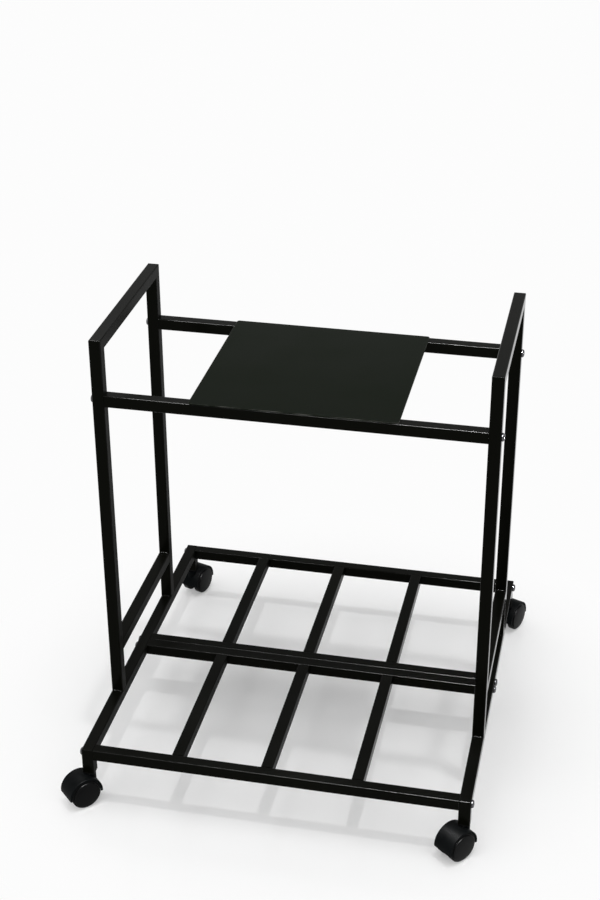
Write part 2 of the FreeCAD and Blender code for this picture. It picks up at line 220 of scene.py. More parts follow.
def connect(tree, wires):
    """Links of a tree, each given as a node, its output, another node and its input."""
    for source, output, target, entry in wires:
        tree.links.new(source.outputs[output], target.inputs[entry])


def add_object(name, data):
    """Object at the origin, in the scene."""
    piece = bpy.data.objects.new(name, data)
    bpy.context.scene.collection.objects.link(piece)
    return piece


def mesh_from(name, shape):
    """Mesh of a bmesh, with smooth faces and sharp corners."""
    bmesh.ops.recalc_face_normals(shape, faces=shape.faces)
    mesh = bpy.data.meshes.new(name)
    shape.to_mesh(mesh)
    shape.free()
    soften(mesh)
    return mesh


def soften(mesh, limit=SHARP):
    """Smooth shading, but for edges sharper than the limit."""
    for face in mesh.polygons:
        face.use_smooth = True
    mesh.set_sharp_from_angle(angle=limit)


def applied(piece):
    """The piece with its modifiers turned into plain mesh."""
    graph = bpy.context.evaluated_depsgraph_get()
    mesh = bpy.data.meshes.new_from_object(piece.evaluated_get(graph))
    piece.modifiers.clear()
    piece.data = mesh
    return piece


def round_edges(piece, width, segments=3, limit=math.radians(40)):
    """Piece with every sharp edge rounded."""
    bevel = piece.modifiers.new("Rounded edges", "BEVEL")
    bevel.width = width
    bevel.segments = segments
    bevel.limit_method = "ANGLE"
    bevel.angle_limit = limit
    bevel.harden_normals = True
    return applied(piece)


def hand_over(piece, body, slot, *replaced):
    """Gives a finished piece its finish, the body that it rides on and the nodes that it stands for."""
    piece.data.materials.clear()
    piece.data.materials.append(finish_for(slot))
    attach(piece, body)
    if replaced:
        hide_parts(*replaced)


def loft(shape, rings, closed_ends=True):
    """Skin over rings of equally many points, with a face over the first and the last ring."""
    made = [[shape.verts.new(point) for point in ring] for ring in rings]
    for lower, upper in zip(made, made[1:]):
        count = len(lower)
        for index in range(count):
            after = (index + 1) % count
            shape.faces.new((lower[index], lower[after], upper[after], upper[index]))
    if closed_ends:
        shape.faces.new(reversed(made[0]))
        shape.faces.new(made[-1])


def full_turn(count):
    """Equal steps of one whole turn."""
    return [2 * math.pi * index / count for index in range(count)]


def circle(radius, height, count):
    """Points of a level circle about the Z axis."""
    return [Vector((radius * math.cos(turn), radius * math.sin(turn), height)) for turn in full_turn(count)]


def hexagon(flats, height, count):
    """Points of a level hexagon about the Z axis, in the same directions as those of a circle."""
    points = []
    for turn in full_turn(count):
        off_middle = (turn + math.pi / 6) % (math.pi / 3) - math.pi / 6
        distance = flats / 2 / math.cos(off_middle)
        points.append(Vector((distance * math.cos(turn), distance * math.sin(turn), height)))
    return points


# Trees of geometry nodes

def new_tree(name, inputs):
    """New tree with named inputs of given kinds, its input node and its inputs' identifiers."""
    tree = bpy.data.node_groups.new(name, "GeometryNodeTree")
    face = tree.interface
    face.new_socket("Geometry", in_out="OUTPUT", socket_type="NodeSocketGeometry")
    face.new_socket("Geometry", in_out="INPUT", socket_type="NodeSocketGeometry")
    sockets = {}
    for label, kind in inputs.items():
        sockets[label] = face.new_socket(label, in_out="INPUT", socket_type=f"NodeSocket{kind}").identifier
    return tree, grow(tree, "NodeGroupInput"), sockets


def random_number(tree, low, high, seed):
    """A number for each point, drawn between two limits."""
    made = grow(tree, "FunctionNodeRandomValue", {"Seed": seed}, data_type="FLOAT")
    limits = [socket for socket in made.inputs if socket.type == "VALUE" and socket.enabled]
    limits[0].default_value = low
    limits[1].default_value = high
    return next(socket for socket in made.outputs if socket.enabled)


def dress(tree, geometry, material):
    """End of a tree: plain geometry with a material."""
    real = grow(tree, "GeometryNodeRealizeInstances")
    dressed = grow(tree, "GeometryNodeSetMaterial")
    out = grow(tree, "NodeGroupOutput")
    tree.links.new(geometry, real.inputs["Geometry"])
    tree.links.new(material, dressed.inputs["Material"])
    connect(tree, (
        (real, "Geometry", dressed, "Geometry"),
        (dressed, "Geometry", out, "Geometry"),
    ))


def grown(name, mesh, tree, sockets, values, limit=SHARP):
    """Plain mesh object of a tree over a mesh, with the tree's inputs set by identifier."""
    piece = add_object(name, mesh)
    modifier = piece.modifiers.new(tree.name, "NODES")
    modifier.node_group = tree
    for label, value in values.items():
        modifier[sockets[label]] = value
    applied(piece)
    soften(piece.data, limit)
    return piece


# Materials

# Powder coat: patches of tone and of the lighter edge, which is partly a thinner coat and partly a painted
# highlight, and depth of the peel, in metres
COAT_PATCH = 0.11
COAT_TONES = (0.8, 1.2)
COAT_SWING = 0.05
THIN_AND_HIGHLIGHT_PATCH = 0.03
THIN_AND_HIGHLIGHT_SHARES = (0.15, 1.0)
THIN_AND_HIGHLIGHT_LIMITS = (0.42, 0.62)
PEEL_DEPTH = 0.00008
PEEL_STRENGTH = 0.22

# How far a face looks along one axis where it starts to count as flat, and where it is wholly flat
FLAT_FACE = (0.80, 0.985)

# Places across the width between which the coat of the tubes' sides turns from dry to wet, in metres
DRY_TO_WET = (-0.10, 0.28)

# Nylon and plastic: patches of tone and depth of the mould texture, in metres
NYLON_PATCH = 0.015
NYLON_TONES = (0.8, 1.25)
NYLON_SWING = 0.05
NYLON_DEPTH = 0.00005
WHEEL_SHINE = 0.1
SOCKET_COARSENESS = 1.5

# Metal: patches of tone, and size and depth of its grain, in metres
METAL_PATCH = 0.004
METAL_SWING = 0.08
METAL_GRAIN = 0.0008
METAL_DEPTH = 0.00002
METAL_STRENGTH = 0.2


def blank_material(name):
    """New node material, its tree, its shader and its coordinates."""
    material = bpy.data.materials.new(name)
    material.use_nodes = True
    tree = material.node_tree
    shader = tree.nodes["Principled BSDF"]
    place = grow(tree, "ShaderNodeTexCoord")
    return material, tree, shader, place


def noise(tree, place, size, detail=2.0):
    """Noise whose patches are about this size, from 0 to 1."""
    made = grow(tree, "ShaderNodeTexNoise", {"Scale": 1 / size, "Detail": detail})
    tree.links.new(place.outputs["Object"], made.inputs["Vector"])
    return made.outputs["Fac"]


def spread(tree, value, low, high, start=0.3, end=0.7):
    """A value between start and end, stretched from low to high."""
    limits = {"From Min": start, "From Max": end, "To Min": low, "To Max": high}
    made = grow(tree, "ShaderNodeMapRange", limits)
    tree.links.new(value, made.inputs["Value"])
    return made.outputs["Result"]


def swung(tree, value, middle, swing):
    """A noise turned into a value that swings about a middle."""
    return spread(tree, value, middle - swing, middle + swing)


def combined(tree, operation, first, second):
    """One value from two."""
    made = grow(tree, "ShaderNodeMath", operation=operation)
    tree.links.new(first, made.inputs[0])
    tree.links.new(second, made.inputs[1])
    return made.outputs["Value"]


def highest(tree, first, *others):
    """The highest of several values."""
    for other in others:
        first = combined(tree, "MAXIMUM", first, other)
    return first


def blend(tree, share, first, second):
    """Mix of two colours, each a socket or a colour."""
    made = grow(tree, "ShaderNodeMix", data_type="RGBA")
    tree.links.new(share, made.inputs["Factor"])
    for name, colour in (("A", first), ("B", second)):
        entry = next(socket for socket in made.inputs if socket.name == name and socket.type == "RGBA")
        if isinstance(colour, bpy.types.NodeSocket):
            tree.links.new(colour, entry)
        else:
            entry.default_value = (*colour, 1)
    return next(socket for socket in made.outputs if socket.type == "RGBA")


def toned(tree, share, colour, darker, lighter):
    """A colour that drifts between a darker and a lighter tone of it."""
    tones = [tuple(min(1.0, channel * factor) for channel in colour) for factor in (darker, lighter)]
    return blend(tree, share, *tones)


def ripple(tree, shader, height, depth, strength):
    """Bump on the shader."""
    bump = grow(tree, "ShaderNodeBump", {"Strength": strength, "Distance": depth})
    tree.links.new(height, bump.inputs["Height"])
    tree.links.new(bump.outputs["Normal"], shader.inputs["Normal"])


def vector_parts(tree, vector):
    """X, Y and Z of a vector."""
    made = grow(tree, "ShaderNodeSeparateXYZ")
    tree.links.new(vector, made.inputs["Vector"])
    return made.outputs["X"], made.outputs["Y"], made.outputs["Z"]


def facing_parts(tree, place):
    """How far a face looks along X, Y and Z, each from 0 to 1."""
    size = grow(tree, "ShaderNodeVectorMath", operation="ABSOLUTE")
    tree.links.new(place.outputs["Normal"], size.inputs[0])
    return vector_parts(tree, size.outputs["Vector"])


def coated(name, finish, colour, edge_colour, gloss):
    """Powder coat: orange peel, drifting gloss, rounded edges coloured lighter as a thinner coat and as a painted
    highlight, sides and tops of their own dryness.
    """
    material, tree, shader, place = blank_material(name)
    shader.inputs["Specular IOR Level"].default_value = gloss
    drift = noise(tree, place, COAT_PATCH)
    ground = toned(tree, drift, colour, *COAT_TONES)
    along_x, along_y, along_z = facing_parts(tree, place)
    edges = spread(tree, highest(tree, along_x, along_y, along_z), 1.0, 0.0, *FLAT_FACE)
    patches = spread(tree, noise(tree, place, THIN_AND_HIGHLIGHT_PATCH, detail=4), *THIN_AND_HIGHLIGHT_SHARES, *THIN_AND_HIGHLIGHT_LIMITS)
    # Painted highlight: the rounded edges take the lighter edge colour in patches, partly as a thinner coat
    thin_and_highlight = combined(tree, "MULTIPLY", edges, patches)
    tree.links.new(blend(tree, thin_and_highlight, ground, edge_colour), shader.inputs["Base Color"])
    even = swung(tree, drift, finish.coat_roughness, COAT_SWING)
    x = vector_parts(tree, place.outputs["Object"])[0]
    dryness = spread(tree, x, finish.left_dryness, -finish.right_shine, *DRY_TO_WET)
    dry_side = combined(tree, "MULTIPLY", spread(tree, along_x, 0.0, 1.0, *FLAT_FACE), dryness)
    dry_top = spread(tree, along_z, 0.0, finish.top_dryness, *FLAT_FACE)
    dry = combined(tree, "ADD", dry_side, dry_top)
    tree.links.new(combined(tree, "ADD", even, dry), shader.inputs["Roughness"])
    ripple(tree, shader, noise(tree, place, finish.peel_size, detail=1), PEEL_DEPTH, PEEL_STRENGTH)
    return material


def frame_coat(finish):
    """Black powder coat of the tubes."""
    return coated("Black powder coat", finish, finish.coat_colour, finish.edge_colour, finish.coat_gloss)


def sheet_coat(finish):
    """Black powder coat of the flat shelf sheet."""
    # The sheet's cut edges take a light grey: mostly a painted highlight along the sheet's edge lines, partly a
    # thinner coat
    return coated("Sheet powder coat", finish, finish.sheet_colour, finish.cut_colour, finish.sheet_gloss)


def moulded(name, colour, gloss, roughness, grain, texture):
    """Moulded plastic: a mould texture of a given grain and strength, and tone that drifts a little."""
    material, tree, shader, place = blank_material(name)
    shader.inputs["Specular IOR Level"].default_value = gloss
    drift = noise(tree, place, NYLON_PATCH)
    tree.links.new(toned(tree, drift, colour, *NYLON_TONES), shader.inputs["Base Color"])
    tree.links.new(swung(tree, drift, roughness, NYLON_SWING), shader.inputs["Roughness"])
    ripple(tree, shader, noise(tree, place, grain), NYLON_DEPTH, texture)
    return material


def hood_finish(finish):
    """Textured nylon of the hoods."""
    return moulded(
        "Hood nylon", finish.hood_colour, finish.hood_gloss,
        roughness=finish.nylon_roughness, grain=finish.nylon_grain, texture=0.3)


def wheel_finish(finish):
    """Smoother nylon of the wheels."""
    return moulded(
        "Wheel nylon", finish.wheel_colour, finish.wheel_gloss,
        roughness=finish.nylon_roughness - WHEEL_SHINE, grain=finish.nylon_grain, texture=0.06)


def socket_finish(finish):
    """Plain plastic of the plugs in the legs."""
    return moulded(
        "Socket plastic", finish.socket_colour, finish.hood_gloss,
        roughness=finish.nylon_roughness, grain=finish.nylon_grain * SOCKET_COARSENESS, texture=0.2)


def metal(name, colour, roughness, stain):
    """Bare or plated metal: faint stains and uneven gloss."""
    material, tree, shader, place = blank_material(name)
    shader.inputs["Metallic"].default_value = 1.0
    cloud = noise(tree, place, METAL_PATCH, detail=4)
    tree.links.new(toned(tree, cloud, colour, 1 - stain, 1 + stain), shader.inputs["Base Color"])
    tree.links.new(swung(tree, cloud, roughness, METAL_SWING), shader.inputs["Roughness"])
    ripple(tree, shader, noise(tree, place, METAL_GRAIN), METAL_DEPTH, METAL_STRENGTH)
    return material


def zinc_plate(finish):
    """Black zinc of the screws."""
    return metal("Black zinc", finish.zinc_colour, roughness=0.22, stain=0.12)


def plain_steel(finish):
    """Steel of the stems, axles, rings and blocks."""
    return metal("Plain steel", finish.steel_colour, roughness=0.42, stain=0.18)


FINISHES = {
    "frame_tube": frame_coat,
    "shelf_sheet": sheet_coat,
    "zinc_screw": zinc_plate,
    "inner_steel": plain_steel,
    "hood_nylon": hood_finish,
    "wheel_nylon": wheel_finish,
    "socket_plastic": socket_finish,
}
made_finishes = {}


def finish_for(slot):
    """Material of a slot of the record, made once."""
    if slot not in made_finishes:
        made_finishes[slot] = FINISHES[slot](bpy.context.scene.trolley_finish)
    return made_finishes[slot]


# Shelf sheet

def sheet_outline(low, high, corner, steps=6):
    """Rectangle with round corners, as points at height 0."""
    points = []
    centres = (
        (high.x - corner, high.y - corner, 0),
        (low.x + corner, high.y - corner, 90),
        (low.x + corner, low.y + corner, 180),
        (high.x - corner, low.y + corner, 270),
    )
    for x, y, start in centres:
        for step in range(steps + 1):
            turn = math.radians(start + 90 * step / steps)
            points.append(Vector((x + corner * math.cos(turn), y + corner * math.sin(turn), 0)))
    return points


def build_sheet(detail):
    """Shelf sheet in the plate's place, with eased edges."""
    low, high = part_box("shelf_plate")
    outline = sheet_outline(low, high, detail.sheet_corner)
    shape = bmesh.new()
    loft(shape, [[point + UP * height for point in outline] for height in (low.z, high.z)])
    piece = round_edges(add_object("shelf_sheet", mesh_from("shelf_sheet", shape)), detail.sheet_edge)
    hand_over(piece, "frame", "shelf_sheet", "shelf_plate")


# Welds

# Ripples of a weld: range of their size, stretch along the seam, mesh, and angle past which edges stay sharp
BEAD_SIZES = (0.88, 1.10)
BEAD_SEED = 7
BEAD_STRETCH = 1.15
BEAD_BALL = {"Segments": 8, "Rings": 6, "Radius": 1.0}
BEAD_SHARP = math.radians(80)


def across(box, y, z, inset=0.0045):
    """Seam along X over the width of a box."""
    low, high = box
    return Vector((low.x + inset, y, z)), Vector((high.x - inset, y, z))


def weld_seams():
    """Both ends of every fillet weld, from the boxes of the tubes that meet there."""
    seams = []
    for side in SIDES:
        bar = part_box(f"{side}_handle_bar")
        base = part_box(f"{side}_base_tube")
        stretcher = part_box(f"{side}_stretcher")
        for end in ENDS:
            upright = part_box(f"{side}_{end}_upright")
            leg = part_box(f"{side}_{end}_leg")
            facing = 1 if end == "front" else 0
            seams += [across(upright, face.y, upright[0].z) for face in upright]
            seams.append(across(bar, upright[facing].y, bar[0].z))
            seams.append(across(base, leg[facing].y, base[0].z))
        seams += [across(stretcher, end.y, level.z) for end in stretcher for level in stretcher]
    for tray in ENDS:
        for slat in SLATS:
            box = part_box(f"{tray}_tray_{slat}_slat")
            seams += [across(box, end.y, box[0].z) for end in box]
    return seams


def weld_tree():
    """Node tree that lays overlapping ripples along the edges of a mesh."""
    tree, given, sockets = new_tree(
        "Weld beads", {"Bead pitch": "Float", "Bead radius": "Float", "Coat": "Material"})
    path = grow(tree, "GeometryNodeMeshToCurve")
    points = grow(tree, "GeometryNodeResampleCurve", mode="LENGTH")
    tangent = grow(tree, "GeometryNodeInputTangent")
    turn = grow(tree, "FunctionNodeAlignRotationToVector", axis="Z")
    ball = grow(tree, "GeometryNodeMeshUVSphere", BEAD_BALL)
    size = grow(tree, "ShaderNodeMath", operation="MULTIPLY")
    long = grow(tree, "ShaderNodeMath", {1: BEAD_STRETCH}, operation="MULTIPLY")
    shape = grow(tree, "ShaderNodeCombineXYZ")
    beads = grow(tree, "GeometryNodeInstanceOnPoints")
    tree.links.new(random_number(tree, *BEAD_SIZES, BEAD_SEED), size.inputs[1])
    connect(tree, (
        (given, "Geometry", path, "Mesh"),
        (path, "Curve", points, "Curve"),
        (given, "Bead pitch", points, "Length"),
        (tangent, "Tangent", turn, "Vector"),
        (given, "Bead radius", size, 0),
        (size, "Value", long, 0),
        (size, "Value", shape, "X"),
        (size, "Value", shape, "Y"),
        (long, "Value", shape, "Z"),
        (points, "Curve", beads, "Points"),
        (ball, "Mesh", beads, "Instance"),
        (turn, "Rotation", beads, "Rotation"),
        (shape, "Vector", beads, "Scale"),
    ))
    dress(tree, beads.outputs["Instances"], given.outputs["Coat"])
    return tree, sockets


def build_welds(detail):
    """Weld beads in the inner corners of the frame."""
    points = [point for seam in weld_seams() for point in seam]
    edges = [(index, index + 1) for index in range(0, len(points), 2)]
    mesh = bpy.data.meshes.new("weld_seams")
    mesh.from_pydata(points, edges, [])
    values = {
        "Bead pitch": detail.bead_pitch,
        "Bead radius": detail.bead_radius,
        "Coat": finish_for("frame_tube"),
    }
    piece = grown("weld_beads", mesh, *weld_tree(), values, limit=BEAD_SHARP)
    hand_over(piece, "frame", "frame_tube")


# Screws

# Shares of a screw's own sizes: the head's rim and crown, the shank's tip, tapers, and drafts of head and key
RIM_SHARE = 0.25
CROWN_SHARE = 0.72
TIP_SHARE = 0.8
TAPER_SHARE = 0.3
DRAFT_SHARE = 0.97
SCREW_SEED = 3


def screw_mesh(detail, sides=24, dome_steps=5):
    """Button-head screw along Z: head above the origin, shank below it, key socket in the head."""
    head, rise, shank = detail.head_radius, detail.head_height, detail.shank_radius
    rim = rise * RIM_SHARE
    crown = detail.key_flats * CROWN_SHARE
    tip = -(TUBE + detail.screw_reach)
    rings = [
        circle(shank * TIP_SHARE, tip, sides),
        circle(shank, tip + shank * TAPER_SHARE, sides),
        circle(shank, 0, sides),
        circle(head * DRAFT_SHARE, 0, sides),
        circle(head, rim * TAPER_SHARE, sides),
        circle(head, rim, sides),
    ]
    for step in range(1, dome_steps + 1):
        turn = math.pi / 2 * step / dome_steps
        radius = crown + (head - crown) * math.cos(turn)
        rings.append(circle(radius, rim + (rise - rim) * math.sin(turn), sides))
    rings.append(hexagon(detail.key_flats, rise, sides))
    rings.append(hexagon(detail.key_flats * DRAFT_SHARE, rise - detail.key_depth, sides))
    shape = bmesh.new()
    loft(shape, rings)
    return mesh_from("screw_pattern", shape)


def screw_tree():
    """Node tree that sets a screw on every point of a mesh, turned to the point's facing."""
    tree, given, sockets = new_tree("Screws", {"Screw": "Object", "Plate": "Material"})
    screw = grow(tree, "GeometryNodeObjectInfo")
    facing = grow(tree, "GeometryNodeInputNamedAttribute", {"Name": "facing"}, data_type="FLOAT_VECTOR")
    turn = grow(tree, "FunctionNodeAlignRotationToVector", axis="Z")
    spin = grow(tree, "FunctionNodeAxisAngleToRotation", {"Axis": (0, 0, 1)})
    both = grow(tree, "FunctionNodeRotateRotation", rotation_space="LOCAL")
    screws = grow(tree, "GeometryNodeInstanceOnPoints")
    tree.links.new(random_number(tree, 0.0, math.pi / 3, SCREW_SEED), spin.inputs["Angle"])
    connect(tree, (
        (given, "Screw", screw, "Object"),
        (facing, "Attribute", turn, "Vector"),
        (turn, "Rotation", both, "Rotation"),
        (spin, "Rotation", both, "Rotate By"),
        (given, "Geometry", screws, "Points"),
        (screw, "Geometry", screws, "Instance"),
        (both, "Rotation", screws, "Rotation"),
    ))
    dress(tree, screws.outputs["Instances"], given.outputs["Plate"])
    return tree, sockets


def screw_points(rails):
    """Mesh of points at both ends of every rail, on the outer faces of the side frames."""
    places = []
    facings = []
    for rail in rails:
        low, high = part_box(rail)
        middle = (low + high) / 2
        for side in (-1, 1):
            places.append(Vector((side * OUTER_X, middle.y, middle.z)))
            facings.append((side, 0, 0))
    mesh = bpy.data.meshes.new("screw_points")
    mesh.from_pydata(places, [], [])
    facing = mesh.attributes.new("facing", "FLOAT_VECTOR", "POINT")
    for index, direction in enumerate(facings):
        facing.data[index].vector = direction
    return mesh


def build_screws(detail):
    """Screws of the shelf rails and of the trays."""
    pattern = add_object("screw_pattern", screw_mesh(detail))
    tree, sockets = screw_tree()
    for node, rails in BOLTED_RAILS.items():
        values = {"Screw": pattern, "Plate": finish_for("zinc_screw")}
        piece = grown(f"{node}_set", screw_points(rails), tree, sockets, values)
        hand_over(piece, "frame", "zinc_screw", node)
    bpy.data.objects.remove(pattern)


# Casters

# Wheels: steps and curve of the face, and chamfer, draft, rib overlap and rib setback in metres
FACE_STEPS = 8
FACE_CURVE = 2.4
WHEEL_CHAMFER = 0.0004
WHEEL_DRAFT = 0.0003
RIB_OVERLAP = 0.0006
RIB_SETBACK = 0.0010
MERGE_DISTANCE = 1e-6


def caster_frame(corner):
    """Matrix of a caster: its axle's middle, with X the way it trails, Y along the axle and Z up."""
    roll = JOINTS[f"{corner}_left_wheel_roll"]
    along = Vector(roll["axis"])
    trail = along.cross(UP)
    matrix = Matrix((trail, along, UP)).transposed().to_4x4()
    matrix.translation = Vector(roll["pos_m"])
    return matrix


def reach(node, matrix, axis):
    """Lowest and highest place of a node along one axis of a caster."""
    inverse = matrix.inverted()
    places = [(inverse @ vertex.co)[axis] for vertex in frame["nodes"][node].data.vertices]
    return min(places), max(places)


def turned(profile, steps):
    """Rings of an outline of (radius, place) pairs, turned about the Y axis."""
    rings = []
    for radius, place in profile:
        rings.append([
            Vector((radius * math.cos(turn), place, radius * math.sin(turn))) for turn in full_turn(steps)
        ])
    return rings


def quarter(corner_radius, corner_place, size, steps=4):
    """Quarter-round edge from a wheel's side to its outside, as (radius, place) pairs."""
    points = []
    for step in range(1, steps + 1):
        turn = math.pi / 2 * step / steps
        inward = size * (1 - math.sin(turn))
        behind = size * (1 - math.cos(turn))
        points.append((corner_radius - inward, corner_place - behind))
    return points


def wheel_levels(detail, outer):
    """Places along the axle of the face's edge, of the disc's back and of the rim's end."""
    edge = outer - detail.face_crown
    return edge, edge - detail.disc_thickness, edge - detail.rim_width


def wheel_profile(detail, radius, hub_end, outer):
    """Outline of a wheel from the middle of its face, round tread and recess, to the bottom of its bore."""
    edge, disc, inner = wheel_levels(detail, outer)
    ring = edge - detail.face_step
    face_radius = radius - detail.tread_depth
    flat_end = face_radius - detail.face_edge
    face = []
    for step in range(1, FACE_STEPS + 1):
        share = step / FACE_STEPS
        face.append((flat_end * share, outer - detail.face_crown * share ** FACE_CURVE))
    face += quarter(face_radius, edge, detail.face_edge)
    tread = [(face_radius, ring), (radius - detail.wheel_edge, ring)]
    tread += quarter(radius, ring, detail.wheel_edge)
    back = [
        (radius, inner + WHEEL_CHAMFER),
        (radius - WHEEL_CHAMFER, inner),
        (radius - detail.rim_depth, inner),
        (radius - detail.rim_depth - WHEEL_DRAFT, disc),
        (detail.hub_radius + WHEEL_DRAFT, disc),
        (detail.hub_radius, hub_end),
        (detail.bore_radius, hub_end),
        (detail.bore_radius, disc + detail.axle_cover),
    ]
    return face + tread + back


def wheel_mesh(name, profile, steps=72):
    """Closed mesh of a wheel's outline."""
    shape = bmesh.new()
    loft(shape, turned(profile, steps), closed_ends=False)
    for ring in turned([profile[0], profile[-1]], steps):
        shape.faces.new([shape.verts.new(point) for point in ring])
    bmesh.ops.remove_doubles(shape, verts=shape.verts, dist=MERGE_DISTANCE)
    return mesh_from(name, shape)


def rib_tree():
    """Node tree that sets ribs round the Y axis between a hub and a rim."""
    tree, given, sockets = new_tree(
        "Wheel ribs", {"Ribs": "Int", "Rib size": "Vector", "Rib middle": "Vector", "Nylon": "Material"})
    points = grow(tree, "GeometryNodePoints")
    index = grow(tree, "GeometryNodeInputIndex")
    share = grow(tree, "ShaderNodeMath", operation="DIVIDE")
    angle = grow(tree, "ShaderNodeMath", {1: 2 * math.pi}, operation="MULTIPLY")
    turn = grow(tree, "FunctionNodeAxisAngleToRotation", {"Axis": (0, 1, 0)})
    rib = grow(tree, "GeometryNodeMeshCube")
    moved = grow(tree, "GeometryNodeTransform")
    ribs = grow(tree, "GeometryNodeInstanceOnPoints")
    whole = grow(tree, "GeometryNodeJoinGeometry")
    connect(tree, (
        (given, "Ribs", points, "Count"),
        (index, "Index", share, 0),
        (given, "Ribs", share, 1),
        (share, "Value", angle, 0),
        (angle, "Value", turn, "Angle"),
        (given, "Rib size", rib, "Size"),
        (rib, "Mesh", moved, "Geometry"),
        (given, "Rib middle", moved, "Translation"),
        (points, "Points", ribs, "Points"),
        (moved, "Geometry", ribs, "Instance"),
        (turn, "Rotation", ribs, "Rotation"),
        (ribs, "Instances", whole, "Geometry"),
        (given, "Geometry", whole, "Geometry"),
    ))
    dress(tree, whole.outputs["Geometry"], given.outputs["Nylon"])
    return tree, sockets


def build_wheels(detail):
    """Eight wheels, each on its own body."""
    tree, sockets = rib_tree()
    hub = detail.hub_radius
    for corner in CORNERS:
        matrix = caster_frame(corner)
        for side, facing in (("left", 180), ("right", 0)):
            node = f"{corner}_caster_{side}_wheel"
            place = matrix @ Matrix.Rotation(math.radians(facing), 4, "Z")
            hub_end, outer = reach(node, place, 1)
            radius = reach(node, place, 2)[1]
            mesh = wheel_mesh(node, wheel_profile(detail, radius, hub_end, outer))
            disc, inner = wheel_levels(detail, outer)[1:]
            rim = radius - detail.rim_depth
            values = {
                "Ribs": detail.rib_count,
                "Rib size": (rim - hub + RIB_OVERLAP, disc - inner - RIB_SETBACK, detail.rib_thickness),
                "Rib middle": ((rim + hub) / 2, (disc + inner) / 2 + RIB_SETBACK / 2, 0),
                "Nylon": finish_for("wheel_nylon"),
            }
            piece = grown(f"{corner}_{side}_wheel_disc", mesh, tree, sockets, values)
            piece.data.transform(place)
            hand_over(piece, f"{corner}_{side}_wheel", "wheel_nylon", node)


def hood_shell(shape, detail, radius, half, wheel_radius, steps=48):
    """Half-round shell about the Y axis, with a lip inside each rim, whose two ends are cut level."""
    skirt = detail.hood_skirt
    bore = radius - detail.hood_wall
    lip = wheel_radius + detail.lip_gap
    lip_start = half - detail.lip_width
    corners_of_wall = (
        (lip, -half), (radius, -half), (radius, half), (lip, half),
        (lip, lip_start), (bore, lip_start), (bore, -lip_start), (lip, -lip_start),
    )
    rings = []
    start = math.asin(skirt / radius)
    for step in range(steps + 1):
        turn = -start + (math.pi + 2 * start) * step / steps
        ring = []
        for distance, place in corners_of_wall:
            if step in (0, steps):
                sideways = math.sqrt(distance ** 2 - skirt ** 2)
                ring.append(Vector((sideways if step == 0 else -sideways, place, -skirt)))
            else:
                ring.append(Vector((distance * math.cos(turn), place, distance * math.sin(turn))))
        rings.append(ring)
    loft(shape, rings)


def hood_web(shape, detail, radius, steps=32, lobe_steps=12):
    """Plate between the wheels: a half disc with a lobe round the axle below it."""
    skirt = detail.hood_skirt
    outline = []
    for step in range(steps + 1):
        turn = math.pi * step / steps
        outline.append((radius * math.cos(turn), radius * math.sin(turn)))
    outline.append((-radius, -skirt))
    lobe = detail.web_lobe
    start = math.asin(skirt / lobe)
    for step in range(lobe_steps + 1):
        turn = math.pi + start + (math.pi - 2 * start) * step / lobe_steps
        outline.append((lobe * math.cos(turn), lobe * math.sin(turn)))
    outline.append((radius, -skirt))
    half = detail.web_thickness / 2
    loft(shape, [[Vector((x, place, z)) for x, z in outline] for place in (-half, half)])


def hood_neck(shape, detail, radius, stem_x, sides=40):
    """Boss round the stem's bore, and the wider neck above the hood, whose foot follows the hood's wall."""
    top = detail.neck_rise

    def level(size, height):
        return [point + Vector((stem_x, 0, 0)) for point in circle(size, height, sides)]

    def seated(size):
        return [Vector((point.x, point.y, math.sqrt(radius ** 2 - point.x ** 2))) for point in level(size, 0)]

    loft(shape, [
        level(detail.boss_radius, -detail.hood_skirt),
        seated(detail.boss_radius),
        seated(detail.neck_radius),
        level(detail.neck_radius, top),
        level(detail.stem_bore, top),
        level(detail.stem_bore, top - detail.stem_depth),
    ])


def build_hoods(detail):
    """Four hoods, each a shell, a web and a neck with its stem boss."""
    for corner in CORNERS:
        node = f"{corner}_caster_hood"
        matrix = caster_frame(corner)
        radius = reach(node, matrix, 0)[1]
        half = reach(node, matrix, 1)[1]
        wheel_radius = reach(f"{corner}_caster_left_wheel", matrix, 2)[1]
        wall_middle = radius - detail.hood_wall / 2
        stem = matrix.inverted() @ Vector(JOINTS[f"{corner}_swivel_turn"]["pos_m"])
        shape = bmesh.new()
        hood_shell(shape, detail, radius, half, wheel_radius)
        hood_web(shape, detail, wall_middle)
        hood_neck(shape, detail, wall_middle, stem.x)
        piece = round_edges(add_object(f"{corner}_hood_shell", mesh_from(node, shape)), detail.hood_edge)
        piece.data.transform(matrix)
        hand_over(piece, f"{corner}_swivel", "hood_nylon", node)


# Stage

# Floor: gloss, range of its roughness and size of its patches in metres
FLOOR_GLOSS = 0.30
FLOOR_ROUGHNESS = (0.10, 0.14)
FLOOR_PATCH = 0.8

# Surround: where the backdrop ends, where the soft light overhead lies and how softly it ends
BACKDROP_END = (0.40, 0.58)
SOFT_LIGHT = Vector((-0.12, -0.24, 1.0)).normalized()
SOFT_LIGHT_END = (0.72, 0.86)

# Lamps: places and sizes, in metres
LAMP_TARGET = (0, 0, 0.3)
KEY_PLACE = (0.3, -0.17, 3.2)
RIGHT_STRIP = {"place": (0.225, -1.3, 3.0), "size": (0.75, 0.35)}
LEFT_STRIP = {"place": (-0.22, -0.2, 1.1), "size": (0.6, 0.13)}

# Width of the camera's sensor, in millimetres
SENSOR = 36.0


